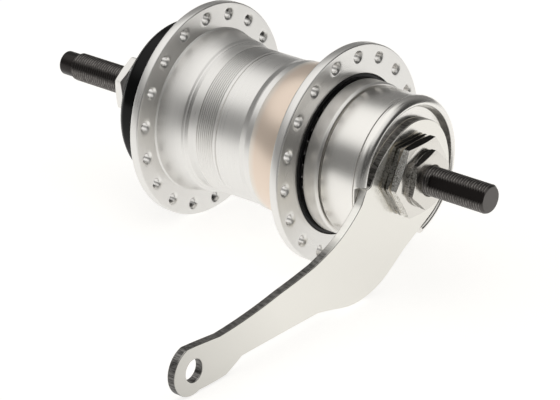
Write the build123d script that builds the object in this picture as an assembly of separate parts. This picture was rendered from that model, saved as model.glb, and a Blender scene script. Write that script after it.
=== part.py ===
"""Bicycle rear hub with an internal three-speed planetary gear and a back-pedal brake.

Millimetres. +Y is the hub's axis, towards the brake side; +X is forwards, the way the brake arm
points; +Z is up. The origin is on the axis, midway between the two spoke flanges.

A turned outline is a list of (radius, y) points. A section across the axis is drawn with X to the
right and Z up, and an angle is measured from X towards Z.
"""
from build123d import *
import os
from math import acos, cos, degrees, pi, radians, sin, sqrt, tan

# Shell and spoke flanges
FLANGE_R = 36.0
FLANGE_MID_Y = 29.1
FLANGE_T = 3.2
FLANGE_EDGE = 0.5
FLANGE_IN = FLANGE_MID_Y - FLANGE_T / 2
FLANGE_OUT = FLANGE_MID_Y + FLANGE_T / 2
SPOKE_RING_R = 32.0
SPOKES_PER_FLANGE = 18
SPOKE_HOLE_R = 1.45
SPOKE_SINK_R = 2.1
SPOKE_SINK_DEPTH = 0.5
DRIVE_FIRST_HOLE = 6.7
BRAKE_FIRST_HOLE = 16.7
DRUM_R = 24.4
COLLAR_R = 25.6
LAND_R = 25.0
FLANGE_ROOT_R = 27.8
BORE_R = 22.0
CUP_BORE_R = 23.0
CUP_RIM_R = 24.6
CUP_INNER_R = 19.9
CUP_Y = (-40.5, -24.2)
CUP_RATCHET_Y = (-30.6, -24.2)
SEAL_BORE_R = 26.7
SEAL_BORE_Y = 28.8
FINE_GROOVES = 9
FINE_GROOVE_Y = -12.4
FINE_GROOVE_PITCH = 0.8
FINE_GROOVE_DEPTH = 0.12
FINE_GROOVE_W = 0.4
WIDE_GROOVE_Y = (-4.8, -4.0)
WIDE_GROOVE_DEPTH = 0.3
LABEL_Y = (10.0, 20.5)
LABEL_T = 0.15

# Axle, a 3/8 inch thread with two milled flats at each end
THREAD_R = 4.76
COVERED_THREAD_R = 4.45
NUT_BORE_R = COVERED_THREAD_R + 0.02
NUT_BORE_CHAMFER = 0.7
AXLE_BRAKE_END = 85.9
AXLE_DRIVE_END = -92.3
AXLE_NOSE_Y = -86.8
AXLE_NOSE_R = 4.1
AXLE_LEAD_L = 0.5
FLATS_ACROSS = 8.45
FLATS_ANGLE = 25.0
FLATS_BRAKE_Y = 65.0
FLATS_DRIVE_Y = -64.0
ROD_BORE_R = 2.1
ROD_BORE_END = -31.5
KEY_SLOT_W = 3.0
KEY_SLOT_Y = (-37.4, -29.2)

# Nuts: low y, high y, width across flats, angle of one corner
ARM_NUT = (55.0, 57.0, 23.4, -2.0)
CONE_LOCKNUT = (57.0, 60.2, 23.4, -2.0)
LEFT_LOCKNUT = (61.0, 63.3, 17.0, 43.0)
LEFT_WASHER_FACE = (9.2, 60.2)
RIGHT_LOCKNUT = (-62.0, -59.0, 17.5, 24.0)
NUT_CHAMFER_ANGLE = 20.0
NUT_FACE_STEP = 0.1

# Brake arm, its outline in a frame with u along the arm and w across it
ARM_TILT = -15.33
ARM_Y = (52.2, 55.0)
ARM_HOLE_U = 106.3
ARM_HOLE_R = 3.6
BOSS_R = 10.0
BOSS_ACROSS = 16.0
BOSS_PLAY = 0.05

# Brake cap
CAP_R = 24.3
CAP_SPIGOT_R = 23.3
CAP_FOOT_Y = 38.4
CAP_FLOOR_Y = 50.6
CAP_CREST_Y = 54.8
CAP_RECESS_R = 21.4
CAP_GAP_ANGLES = (-92.0, 22.5)
BASE_RING_R = 25.5
BASE_RING_Y = (31.6, 37.8)

# Gear train: module, pressure angle, teeth
MODULE = 0.8
PRESSURE_ANGLE = radians(25)
SUN_TEETH = 16
PLANET_TEETH = 14
RING_TEETH = 44
ADDENDUM = 0.9 * MODULE
DEDENDUM = 1.15 * MODULE
FLANK_THINNING = 0.05
PLANETS = 4
PLANET_ORBIT_R = MODULE * (SUN_TEETH + PLANET_TEETH) / 2
SUN_Y = (-19.5, -9.5)
PLANET_Y = (-19.0, -10.0)
PIN_R = 2.0
RUNNING_PLAY = 0.05

# Planet carrier
PLATE_R = 16.2
DRIVE_PLATE_Y = (-22.2, -19.6)
BRAKE_PLATE_Y = (-9.4, -7.0)
CARRIER_BORE_R = THREAD_R + 0.09
CARRIER_FLANGE_Y = (-5.4, 0.8)
SCREW_HUB_R = 9.5
SCREW_HUB_END = 12.0

# Ring gear
RING_RIM_R = 20.6
RING_RIM_Y = (-20.5, -8.4)
RING_DRUM_R = 19.6
RING_DRUM_BORE_R = 17.2
RING_DRUM_Y = -31.5

# Pawls and ratchets
PAWL_PIVOT_R = 18.65
PAWL_HEEL_R = 0.85
PAWL_PIN_R = 0.42
PAWL_LENGTH = 7.2
PAWL_W = 4.2
PAWL_TIP_TOP = 0.2
PAWL_TIP_BOTTOM = -1.05
PAWL_TIP_BEVEL = 0.3
PAWL_PLAY = 0.03
PAWL_PIN_FIT = 0.01
PAWL_PIN_OVERHANG = 0.9
POCKET_PLAY = 0.15
RATCHET_TEETH = 22
RATCHET_TIP_R = 20.45
RATCHET_ROOT_R = 21.4
RATCHET_RAMP = 15.0
RATCHET_FACE = 0.4
RATCHET_FACE_AHEAD = 20.8
RING_PAWL_Y = -29.6
CARRIER_PAWL_Y = -4.4
RING_PAWL_ANGLES = (45.0, 225.0)
CARRIER_PAWL_ANGLES = (0.0, 180.0)

# Driver, clutch and push rod
SEAT_R = 17.45
SEAT_Y = (-49.0, -44.8)
DRIVER_END = -51.0
DRIVER_TUBE_R = 13.0
DRIVER_TUBE_BORE_R = 10.0
DRIVER_TUBE_END = -23.5
SEAT_NOTCHES = 3
CLUTCH_ARMS = 4
CLUTCH_ARM_W = 4.0
CLUTCH_ARM_R = 18.3
CLUTCH_ARM_Y = (-31.0, -27.8)
CLUTCH_SLOT_PLAY = 0.3
CLUTCH_HUB_R = 8.6
CLUTCH_HUB_Y = -34.2
SPRING_POCKET_R = 7.4
SPRING_COIL_R = 6.0
SPRING_WIRE_R = 0.45
SPRING_TURNS = 5
RIGHT_CONE_Y = (-59.0, -47.4)
ROD_R = 2.0
KEY_W = 2.8
KEY_LENGTH = 16.4

# Bearings: ball radius, pitch radius, y, number of balls
LEFT_BEARING = (3.0, 19.5, 26.2, 16)
SHELL_BEARING = (2.5, 17.8, -37.0, 18)
DRIVER_BEARING = (2.0, 9.3, -49.6, 12)
BEARINGS = {"left": LEFT_BEARING, "right_inner": SHELL_BEARING, "right_outer": DRIVER_BEARING}
RACE_PLAY = 0.04
CAGE_T = 1.0
CAGE_BRIDGE = 0.8

# Brake cones and shoes: cone slope, and the play between a shoe and a cone
CONE_SLOPE = 0.6
CONE_R = 19.0
CONE_NECK_R = 17.6
EXPANDER_Y = (1.4, 3.0, 9.5)
BRAKE_CONE_Y = (16.5, 23.0)
SHOE_R = 21.6
SHOE_Y = (4.0, 22.0)
SHOE_PLAY = 0.15
SHOE_INNER_R = 15.0
SHOE_ARC = 74.0
SHOES = 4
SPRING_GROOVE_Y = (11.8, 14.2)
SPRING_GROOVE_R = 19.6

# Black cover over the drive-side bearing
COVER_R = 27.0
COVER_Y = (-44.8, -34.8)
COVER_T = 1.0
COVER_EDGE_R = 2.5
COVER_HOLE_R = 17.25


def outline(start, *steps):
    """Closed face. A step is a point, for a straight edge, or two points, for an arc through the first."""
    edges = []
    here = start
    for step in steps:
        if isinstance(step[0], tuple):
            through, there = step
            edges.append(ThreePointArc(here, through, there))
        else:
            there = step
            edges.append(Line(here, there))
        here = there
    if here != start:
        edges.append(Line(here, start))
    return Face(Wire(edges))


def turned(*points):
    """Solid of revolution about the hub's axis."""
    return revolve(outline(*points), axis=Axis.Y)


def tube(outer_r, inner_r, y_low, y_high):
    return turned((inner_r, y_low), (outer_r, y_low), (outer_r, y_high), (inner_r, y_high))


def rod(radius, y_low, y_high):
    return turned((0.0, y_low), (radius, y_low), (radius, y_high), (0.0, y_high))


def prism(section, y_low, y_high):
    """Straight solid along the axis from a section across it."""
    plane = Plane(origin=(0, y_high, 0), x_dir=(1, 0, 0), z_dir=(0, -1, 0))
    return extrude(plane * section, amount=y_high - y_low, dir=(0, -1, 0))


def polar(radius, angle):
    return radius * cos(radians(angle)), radius * sin(radians(angle))


def around(count, first=0.0):
    """Evenly spaced angles round the axis."""
    return [first + 360.0 * i / count for i in range(count)]


def turn_to(angle):
    """Rotation that carries +X to an angle round the axis."""
    return Rot(0, -angle, 0)


def bar(inner_r, outer_r, width, y_low, y_high, angle):
    """Radial bar with parallel sides."""
    section = Pos((inner_r + outer_r) / 2, 0) * Rectangle(outer_r - inner_r, width)
    return prism(Rot(0, 0, angle) * section, y_low, y_high)


def flats_waste(across, y_low, y_high, angle):
    """The two pieces cut away to leave a pair of parallel flats, with their normal at an angle."""
    reach = 20.0
    return [
        bar(across / 2, reach, 2 * reach, y_low, y_high, side) for side in (angle, angle + 180)
    ]


def race_point(bearing, angle):
    """Point of a race in (radius, y), at an angle round its ball from the outward radius."""
    ball_r, pitch_r, y = bearing[:3]
    reach = ball_r + RACE_PLAY
    return pitch_r + reach * cos(radians(angle)), y + reach * sin(radians(angle))


def race_end(bearing, radius, side):
    """Point of a race at a radius, on the low (-1) or the high (+1) side of its ball."""
    ball_r, pitch_r, y = bearing[:3]
    reach = ball_r + RACE_PLAY
    return radius, y + side * sqrt(reach**2 - (radius - pitch_r) ** 2)


def make_balls(bearing):
    ball_r, pitch_r, y, count = bearing
    return Compound([turn_to(angle) * Pos(pitch_r, y, 0) * Sphere(ball_r) for angle in around(count)])


def make_retainer(bearing):
    """Crown-shaped ring beside the balls, with a spherical pocket round each ball."""
    ball_r, pitch_r, y, count = bearing
    ring = tube(pitch_r + CAGE_T / 2, pitch_r - CAGE_T / 2, y, y + ball_r + CAGE_BRIDGE)
    for angle in around(count):
        ring -= turn_to(angle) * Pos(pitch_r, y, 0) * Sphere(ball_r + 2 * RACE_PLAY)
    return ring


def make_nut(y_low, y_high, across, corner_angle):
    """Hexagon nut with its corners turned down at both ends."""
    corner_r = across / sqrt(3)
    face_r = across / 2 - NUT_FACE_STEP
    drop = (corner_r - face_r) * tan(radians(NUT_CHAMFER_ANGLE))
    mouth_r = NUT_BORE_R + NUT_BORE_CHAMFER
    envelope = turned(
        (NUT_BORE_R, y_low + NUT_BORE_CHAMFER), (mouth_r, y_low), (face_r, y_low),
        (corner_r, y_low + drop), (corner_r, y_high - drop), (face_r, y_high),
        (mouth_r, y_high), (NUT_BORE_R, y_high - NUT_BORE_CHAMFER),
    )
    section = RegularPolygon(radius=corner_r, side_count=6, rotation=corner_angle)
    return prism(section, y_low, y_high) & envelope


def gear_section(teeth, tip_r, root_r, pitch_thickness, tooth_angle):
    """Involute gear, each flank an arc through three points of its involute."""
    pitch_r = MODULE * teeth / 2
    base_r = pitch_r * cos(PRESSURE_ANGLE)
    foot_r = max(base_r, root_r)
    waist_r = (foot_r + tip_r) / 2

    def half_angle(radius):
        slope = acos(min(1.0, base_r / radius))
        thinner = (tan(slope) - slope) - (tan(PRESSURE_ANGLE) - PRESSURE_ANGLE)
        return degrees(pitch_thickness / 2 / pitch_r - thinner)

    foot, waist, tip = half_angle(foot_r), half_angle(waist_r), half_angle(tip_r)
    steps = []
    for middle in around(teeth, tooth_angle):
        if root_r < foot_r:
            steps.append(polar(foot_r, middle - foot))
        steps.append((polar(waist_r, middle - waist), polar(tip_r, middle - tip)))
        steps.append((polar(tip_r, middle), polar(tip_r, middle + tip)))
        steps.append((polar(waist_r, middle + waist), polar(foot_r, middle + foot)))
        if root_r < foot_r:
            steps.append(polar(root_r, middle + foot))
        gap = middle + 180.0 / teeth
        steps.append((polar(root_r, gap), polar(root_r, 2 * gap - middle - foot)))
    start = polar(root_r, tooth_angle - foot)
    steps[-1] = (steps[-1][0], start)
    return outline(start, *steps)


def external_gear(teeth, tooth_angle):
    pitch_r = MODULE * teeth / 2
    thickness = MODULE * pi / 2 - FLANK_THINNING
    return gear_section(teeth, pitch_r + ADDENDUM, pitch_r - DEDENDUM, thickness, tooth_angle)


def internal_gear_space(teeth, tooth_angle):
    """The open inside of a ring gear that has a tooth at an angle."""
    pitch_r = MODULE * teeth / 2
    width = MODULE * pi / 2 + FLANK_THINNING
    gap_angle = tooth_angle + 180.0 / teeth
    return gear_section(teeth, pitch_r + DEDENDUM, pitch_r - ADDENDUM, width, gap_angle)


def ratchet_space(pawl_angle):
    """The open inside of a ratchet, with a steep face just ahead of a raised pawl's tip."""
    points = []
    for face in around(RATCHET_TEETH, pawl_angle - RATCHET_FACE_AHEAD):
        points.append(polar(RATCHET_TIP_R, face))
        points.append(polar(RATCHET_ROOT_R, face + RATCHET_FACE))
        points.append(polar(RATCHET_TIP_R, face + RATCHET_FACE + RATCHET_RAMP))
    return outline(*points)


def at_pawl(section, angle):
    """Place a section drawn about a pawl's pivot, with its tip towards +X and outwards +Y."""
    return Rot(0, 0, angle - 90) * Pos(0, PAWL_PIVOT_R) * section


def make_pawl(angle, y_low):
    heel, tip = PAWL_HEEL_R, PAWL_LENGTH
    section = outline(
        (0.0, heel), (tip, PAWL_TIP_TOP), (tip - PAWL_TIP_BEVEL, PAWL_TIP_BOTTOM), (0.0, -heel),
        ((-heel, 0.0), (0.0, heel)),
    ) - Circle(PAWL_PIN_R + PAWL_PLAY)
    return prism(at_pawl(section, angle), y_low, y_low + PAWL_W)


def pawl_pocket(angle, y_low):
    """Space that a pawl folds into, open outwards."""
    socket_r = PAWL_HEEL_R + POCKET_PLAY
    top = PAWL_HEEL_R + 2.0
    corner = socket_r / sqrt(2)
    far = PAWL_LENGTH + 2 * POCKET_PLAY
    section = outline(
        (-socket_r, top), (-socket_r, 0.0), ((-corner, -corner), (0.0, -socket_r)),
        (far, PAWL_TIP_BOTTOM - POCKET_PLAY), (far, top),
    )
    return prism(at_pawl(section, angle), y_low - POCKET_PLAY, y_low + PAWL_W + POCKET_PLAY)


def pawl_pin(angle, y_low, radius):
    low, high = y_low - PAWL_PIN_OVERHANG, y_low + PAWL_W + PAWL_PIN_OVERHANG
    return prism(at_pawl(Circle(radius), angle), low, high)


def make_pawl_pins(angles, y_low):
    return Compound([pawl_pin(angle, y_low, PAWL_PIN_R) for angle in angles])


def cut_pawl_seats(holder, angles, y_low):
    for angle in angles:
        holder -= pawl_pocket(angle, y_low)
        holder -= pawl_pin(angle, y_low, PAWL_PIN_R + PAWL_PIN_FIT)
    return holder


def spoke_hole(y_low, angle):
    """Drilled hole with a countersink on both faces of a flange."""
    y_high = y_low + FLANGE_T
    cutter = turned(
        (0.0, y_low - 1), (SPOKE_SINK_R, y_low - 1), (SPOKE_SINK_R, y_low),
        (SPOKE_HOLE_R, y_low + SPOKE_SINK_DEPTH), (SPOKE_HOLE_R, y_high - SPOKE_SINK_DEPTH),
        (SPOKE_SINK_R, y_high), (SPOKE_SINK_R, y_high + 1), (0.0, y_high + 1),
    )
    return turn_to(angle) * Pos(SPOKE_RING_R, 0, 0) * cutter


def drum_grooves():
    """Outline points of the fine turned grooves and of the one wider groove beside them."""
    points = []
    for i in range(FINE_GROOVES):
        y = FINE_GROOVE_Y + i * FINE_GROOVE_PITCH
        half = FINE_GROOVE_W / 2
        points += [(DRUM_R, y - half), (DRUM_R - FINE_GROOVE_DEPTH, y), (DRUM_R, y + half)]
    low, high = WIDE_GROOVE_Y
    floor_r = DRUM_R - WIDE_GROOVE_DEPTH
    slope = WIDE_GROOVE_DEPTH / 2
    return points + [(DRUM_R, low), (floor_r, low + slope), (floor_r, high - slope), (DRUM_R, high)]


def make_hub_shell():
    edge_r = FLANGE_R - FLANGE_EDGE
    race_r, race_y = race_point(LEFT_BEARING, 0)
    shell = turned(
        (CUP_BORE_R, -FLANGE_OUT), (edge_r, -FLANGE_OUT), (FLANGE_R, -FLANGE_OUT + FLANGE_EDGE),
        (FLANGE_R, -FLANGE_IN - FLANGE_EDGE), (edge_r, -FLANGE_IN), (FLANGE_ROOT_R, -FLANGE_IN),
        ((COLLAR_R + 0.6, -26.6), (COLLAR_R, -24.5)),
        (COLLAR_R, -17.9), (COLLAR_R - 0.5, -17.4), (DRUM_R, -16.2),
        *drum_grooves(),
        (DRUM_R, 5.5), ((DRUM_R + 0.15, 6.7), (LAND_R, 7.4)), (LAND_R, 22.5),
        ((LAND_R + 0.8, 26.0), (FLANGE_ROOT_R, FLANGE_IN)),
        (edge_r, FLANGE_IN), (FLANGE_R, FLANGE_IN + FLANGE_EDGE),
        (FLANGE_R, FLANGE_OUT - FLANGE_EDGE), (edge_r, FLANGE_OUT),
        (SEAL_BORE_R, FLANGE_OUT), (SEAL_BORE_R, SEAL_BORE_Y), (race_r, SEAL_BORE_Y), (race_r, race_y),
        (race_point(LEFT_BEARING, -17), race_end(LEFT_BEARING, BORE_R, -1)),
        (BORE_R, CUP_Y[1]), (CUP_BORE_R, CUP_Y[1]),
    )
    for angle in around(SPOKES_PER_FLANGE, DRIVE_FIRST_HOLE):
        shell -= spoke_hole(-FLANGE_OUT, angle)
    for angle in around(SPOKES_PER_FLANGE, BRAKE_FIRST_HOLE):
        shell -= spoke_hole(FLANGE_IN, angle)
    return shell


def make_dust_seal():
    low, high = SEAL_BORE_Y, SEAL_BORE_Y + 1.6
    return turned(
        (22.8, low), (SEAL_BORE_R - 0.02, low), (SEAL_BORE_R - 0.02, high),
        (25.4, high), (24.4, high - 0.7), (22.8, high - 0.7),
    )


def make_right_ball_cup():
    """Cup in the shell's drive-side end, with the ring pawls' ratchet inboard of its race."""
    race_r, race_y = race_point(SHELL_BEARING, 0)
    low, high = CUP_Y
    cup = turned(
        (race_r, low), (CUP_RIM_R, low), (CUP_RIM_R, -FLANGE_OUT), (CUP_BORE_R - 0.02, -FLANGE_OUT),
        (CUP_BORE_R - 0.02, high), (CUP_INNER_R, high), race_end(SHELL_BEARING, CUP_INNER_R, 1),
        (race_point(SHELL_BEARING, 17), (race_r, race_y)),
    )
    return cup - prism(ratchet_space(RING_PAWL_ANGLES[0]), *CUP_RATCHET_Y)


def make_left_ratchet_ring():
    low, high = CARRIER_FLANGE_Y
    ring = tube(BORE_R - 0.02, CUP_INNER_R, low, high)
    return ring - prism(ratchet_space(CARRIER_PAWL_ANGLES[0]), low, high)


def make_axle():
    """Axle with the sun gear cut on it, a rod bore from the drive end and a slot for the key.

    Its thread is a plain cylinder: at the thread's crest where it is bare, and at the pitch line
    where a nut or a cone covers it. Past each end of the thread it is turned down below the flats.
    """
    lead_y = AXLE_BRAKE_END - AXLE_LEAD_L
    brake_end, drive_end = AXLE_BRAKE_END, AXLE_DRIVE_END
    axle = turned(
        (0.0, drive_end), (AXLE_NOSE_R - 0.4, drive_end), (AXLE_NOSE_R, drive_end + 0.4),
        (AXLE_NOSE_R, AXLE_NOSE_Y), (THREAD_R, AXLE_NOSE_Y),
        (THREAD_R, RIGHT_LOCKNUT[0]), (COVERED_THREAD_R, RIGHT_LOCKNUT[0]),
        (COVERED_THREAD_R, RIGHT_CONE_Y[1]), (THREAD_R, RIGHT_CONE_Y[1]),
        (THREAD_R, BRAKE_CONE_Y[0]), (COVERED_THREAD_R, BRAKE_CONE_Y[0]),
        (COVERED_THREAD_R, LEFT_LOCKNUT[1]), (THREAD_R, LEFT_LOCKNUT[1]),
        (THREAD_R, lead_y), (AXLE_NOSE_R, lead_y), (AXLE_NOSE_R, brake_end), (0.0, brake_end),
    )
    axle += prism(external_gear(SUN_TEETH, 0.0), *SUN_Y)
    axle -= rod(ROD_BORE_R, drive_end - 1, ROD_BORE_END)
    axle -= prism(Rectangle(3 * THREAD_R, KEY_SLOT_W), *KEY_SLOT_Y)
    for waste in flats_waste(FLATS_ACROSS, FLATS_BRAKE_Y, brake_end + 1, FLATS_ANGLE):
        axle -= waste
    for waste in flats_waste(FLATS_ACROSS, AXLE_NOSE_Y, FLATS_DRIVE_Y, FLATS_ANGLE):
        axle -= waste
    return axle


def make_brake_cone():
    """Fixed cone: it spreads the shoes, carries the left balls and ends in the cap's bright base ring."""
    low, high = BRAKE_CONE_Y
    web_y, ring_y = BASE_RING_Y[0] + 2.8, BASE_RING_Y[1]
    ring_r = BASE_RING_R
    cone = turned(
        (NUT_BORE_R, low), (CONE_R - CONE_SLOPE * (high - low), low), (CONE_R, high),
        race_end(LEFT_BEARING, CONE_R, -1),
        (race_point(LEFT_BEARING, 180), race_end(LEFT_BEARING, CONE_NECK_R, 1)),
        (CONE_NECK_R, BASE_RING_Y[0]), (ring_r - 0.3, BASE_RING_Y[0]), (ring_r, BASE_RING_Y[0] + 0.3),
        (ring_r, ring_y - 0.8), (ring_r - 0.6, ring_y), (CAP_SPIGOT_R + 0.1, ring_y),
        (CAP_SPIGOT_R + 0.1, web_y), (BOSS_R, web_y), (BOSS_R, ARM_Y[1]), (NUT_BORE_R, ARM_Y[1]),
    )
    for waste in flats_waste(BOSS_ACROSS, ARM_Y[0], ARM_Y[1], ARM_TILT + 90):
        cone -= waste
    for angle in around(SHOES, 180.0 / SHOES):
        cone += bar(12.0, SPRING_GROOVE_R - 0.1, 2.6, 13.0, SHOE_Y[1], angle)
    return cone


def make_brake_cap():
    """Deep cup with a rounded rim, cut away where the arm crosses it."""
    floor_y, crest_y = ARM_Y[0], CAP_CREST_Y
    edge_r = CAP_R - CAP_RECESS_R
    cap = turned(
        (BOSS_R + BOSS_PLAY, CAP_FLOOR_Y), (CAP_R - 1.9, CAP_FLOOR_Y), (CAP_R - 1.9, CAP_FOOT_Y - 3.8),
        (CAP_SPIGOT_R, CAP_FOOT_Y - 3.8), (CAP_SPIGOT_R, CAP_FOOT_Y), (CAP_R - 0.3, CAP_FOOT_Y),
        (CAP_R, CAP_FOOT_Y + 0.3), (CAP_R, crest_y - edge_r * 0.75),
        ((CAP_R - edge_r * 0.25, crest_y - edge_r * 0.22), (CAP_R - edge_r * 0.62, crest_y)),
        ((CAP_RECESS_R + edge_r * 0.1, crest_y - edge_r * 0.1), (CAP_RECESS_R, crest_y - edge_r * 0.4)),
        (CAP_RECESS_R, floor_y), (BOSS_R + BOSS_PLAY, floor_y),
    )
    start, end = CAP_GAP_ANGLES
    reach = 2 * CAP_R
    gap = outline(
        (0.0, 0.0), polar(reach, start), (polar(reach, (start + end) / 2), polar(reach, end))
    )
    return cap - prism(Rot(0, 0, ARM_TILT) * gap, floor_y, crest_y + 1)


def make_brake_arm():
    """Stamped lever: a broad head on the cone's boss, a waist and a rounded tip with one hole."""
    section = outline(
        (18.7, 7.6), ((8.5, 14.4), (-4.0, 16.5)), ((-16.2, 9.0), (-19.5, -2.0)),
        ((-15.6, -13.7), (-5.5, -20.1)), (9.3, -23.6), (17.5, -26.4),
        ((30.5, -27.6), (42.0, -23.6)), (52.2, -18.2), (65.0, -14.8), (86.5, -9.2),
        ((90.5, -10.0), (94.5, -10.6)), ((100.5, -9.2), (106.0, -7.6)),
        ((115.0, 0.6), (106.8, 8.5)), (101.8, 6.6), (93.4, 3.6), (80.0, 1.2), (66.0, -0.3),
        (49.4, -1.9), (38.1, -1.0), ((30.7, 1.1), (24.1, 4.3)), (20.9, 7.8),
    )
    boss_hole = Circle(BOSS_R + BOSS_PLAY) & Rectangle(60, BOSS_ACROSS + 2 * BOSS_PLAY)
    section -= boss_hole
    section -= Pos(ARM_HOLE_U, 0) * Circle(ARM_HOLE_R)
    return prism(Rot(0, 0, ARM_TILT) * section, *ARM_Y)


def make_left_locknut():
    face_r, face_y = LEFT_WASHER_FACE
    return make_nut(*LEFT_LOCKNUT) + tube(face_r, NUT_BORE_R, face_y, LEFT_LOCKNUT[0] + 0.5)


def make_right_cone():
    low, high = RIGHT_CONE_Y
    race_r, race_y = race_point(DRIVER_BEARING, 180)
    cone = turned(
        (NUT_BORE_R, low), (8.6, low), (8.6, -52.2), (8.3, -51.9), race_end(DRIVER_BEARING, 8.3, -1),
        (race_point(DRIVER_BEARING, 210), (race_r, race_y)), (race_r, high), (NUT_BORE_R, high),
    )
    for waste in flats_waste(15.0, low, low + 4.0, FLATS_ANGLE):
        cone -= waste
    return cone


def make_driver():
    """Driver: sprocket seat outside, ball races at both ends, and a slotted tube for the clutch."""
    seat_low, seat_high = SEAT_Y
    cup_r, cup_y = race_point(DRIVER_BEARING, 0)
    race_r, race_y = race_point(SHELL_BEARING, 180)
    shoulder_y = COVER_Y[0] + COVER_T
    driver = turned(
        (cup_r, DRIVER_END), (SEAT_R, DRIVER_END), (SEAT_R, seat_low - 1.2),
        (SEAT_R - 0.9, seat_low - 1.2), (SEAT_R - 0.9, seat_low), (SEAT_R, seat_low),
        (SEAT_R, seat_high), (COVER_HOLE_R - 0.05, seat_high), (COVER_HOLE_R - 0.05, shoulder_y),
        (20.0, shoulder_y), (20.0, -41.2), (17.0, -41.2), race_end(SHELL_BEARING, 17.0, -1),
        (race_point(SHELL_BEARING, 216), (race_r, race_y)), (race_r, -35.0), (14.8, -34.5),
        (DRIVER_TUBE_R, -33.0), (DRIVER_TUBE_R, DRIVER_TUBE_END), (DRIVER_TUBE_BORE_R, DRIVER_TUBE_END),
        (DRIVER_TUBE_BORE_R, -46.2), (10.6, -46.2), race_end(DRIVER_BEARING, 10.6, 1),
        (race_point(DRIVER_BEARING, 25), (cup_r, cup_y)),
    )
    slot_w = CLUTCH_ARM_W + CLUTCH_SLOT_PLAY
    for angle in around(CLUTCH_ARMS):
        driver -= bar(8.0, 14.0, slot_w, CLUTCH_ARM_Y[0] - 0.4, DRIVER_TUBE_END + 1, angle)
    for angle in around(SEAT_NOTCHES, 90.0):
        notch = Pos(*polar(SEAT_R + 0.8, angle)) * Circle(1.9)
        driver -= prism(notch, DRIVER_END - 1, seat_high)
    return driver


def make_right_dust_cap():
    low, high = COVER_Y
    inner_r, edge = COVER_R - COVER_T, COVER_EDGE_R
    diagonal = edge * (1 - 1 / sqrt(2))
    inner_edge = edge - COVER_T
    inner_diagonal = inner_edge * (1 - 1 / sqrt(2))
    face_y = low + COVER_T
    return turned(
        (COVER_HOLE_R, low), (COVER_R - edge, low),
        ((COVER_R - diagonal, low + diagonal), (COVER_R, low + edge)), (COVER_R, high),
        (inner_r, high), (inner_r, face_y + inner_edge),
        ((inner_r - inner_diagonal, face_y + inner_diagonal), (inner_r - inner_edge, face_y)),
        (COVER_HOLE_R, face_y),
    )


def make_sliding_clutch():
    """Clutch with arms that reach through the driver's slots into the ring gear's slots."""
    low, high = CLUTCH_HUB_Y, CLUTCH_ARM_Y[1]
    clutch = turned(
        (THREAD_R + 0.14, low), (CLUTCH_HUB_R, low), (CLUTCH_HUB_R, high), (SPRING_POCKET_R, high),
        (SPRING_POCKET_R, low + 1.4), (THREAD_R + 0.14, low + 1.4),
    )
    for angle in around(CLUTCH_ARMS):
        clutch += bar(SPRING_POCKET_R + 0.4, CLUTCH_ARM_R, CLUTCH_ARM_W, *CLUTCH_ARM_Y, angle)
    return clutch


def make_clutch_spring():
    """Coil spring round the axle, from the clutch's pocket to the end of the sun gear."""
    low, high = CLUTCH_HUB_Y + 1.5, SUN_Y[0] - 0.1
    rise = high - low - 2 * SPRING_WIRE_R
    coil = Helix(pitch=rise / SPRING_TURNS, height=rise, radius=SPRING_COIL_R)
    wire = sweep(Plane(origin=coil @ 0, z_dir=coil % 0) * Circle(SPRING_WIRE_R), path=coil)
    return Pos(0, low + SPRING_WIRE_R, 0) * Rot(-90, 0, 0) * wire


def make_push_rod():
    return rod(ROD_R, AXLE_DRIVE_END + 0.8, KEY_SLOT_Y[0] + 0.2)


def make_axle_key():
    low = KEY_SLOT_Y[0] + 0.2
    return prism(Rectangle(KEY_LENGTH, KEY_W), low, low + KEY_W)


def make_ring_gear():
    """Ring gear with a drum that carries the clutch's slots and the ring pawls."""
    low, high = RING_RIM_Y
    ring = turned(
        (RING_DRUM_BORE_R, RING_DRUM_Y), (RING_DRUM_R, RING_DRUM_Y), (RING_DRUM_R, low),
        (RING_RIM_R, low), (RING_RIM_R, high), (PLATE_R, high), (PLATE_R, low), (RING_DRUM_BORE_R, low),
    )
    ring -= prism(internal_gear_space(RING_TEETH, 0.0), low, high)
    slot_w = CLUTCH_ARM_W + CLUTCH_SLOT_PLAY
    for angle in around(CLUTCH_ARMS):
        ring -= bar(15.0, CLUTCH_ARM_R + 0.2, slot_w, RING_DRUM_Y - 1, DRIVE_PLATE_Y[0] - 0.3, angle)
    return cut_pawl_seats(ring, RING_PAWL_ANGLES, RING_PAWL_Y)


def make_planet_carrier():
    """Two plates joined by webs between the planets, a pawl flange and the brake's screw hub."""
    carrier = tube(PLATE_R, SPRING_POCKET_R, *DRIVE_PLATE_Y)
    carrier += turned(
        (CARRIER_BORE_R, BRAKE_PLATE_Y[0]), (PLATE_R, BRAKE_PLATE_Y[0]), (PLATE_R, BRAKE_PLATE_Y[1]),
        (14.0, BRAKE_PLATE_Y[1]), (14.0, CARRIER_FLANGE_Y[0]), (RING_DRUM_R, CARRIER_FLANGE_Y[0]),
        (RING_DRUM_R, CARRIER_FLANGE_Y[1]), (SCREW_HUB_R, CARRIER_FLANGE_Y[1]),
        (SCREW_HUB_R, SCREW_HUB_END), (CARRIER_BORE_R, SCREW_HUB_END),
    )
    for angle in around(PLANETS, 180.0 / PLANETS):
        carrier += bar(9.6, PLATE_R - 0.3, 3.2, DRIVE_PLATE_Y[1], BRAKE_PLATE_Y[0], angle)
    for angle in around(PLANETS):
        hole = Pos(*polar(PLANET_ORBIT_R, angle)) * Circle(PIN_R + 0.01)
        carrier -= prism(hole, DRIVE_PLATE_Y[0], BRAKE_PLATE_Y[1])
    return cut_pawl_seats(carrier, CARRIER_PAWL_ANGLES, CARRIER_PAWL_Y)


def make_planet_pins():
    pins = []
    for angle in around(PLANETS):
        section = Pos(*polar(PLANET_ORBIT_R, angle)) * Circle(PIN_R)
        pins.append(prism(section, DRIVE_PLATE_Y[0], BRAKE_PLATE_Y[1]))
    return Compound(pins)


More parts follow.
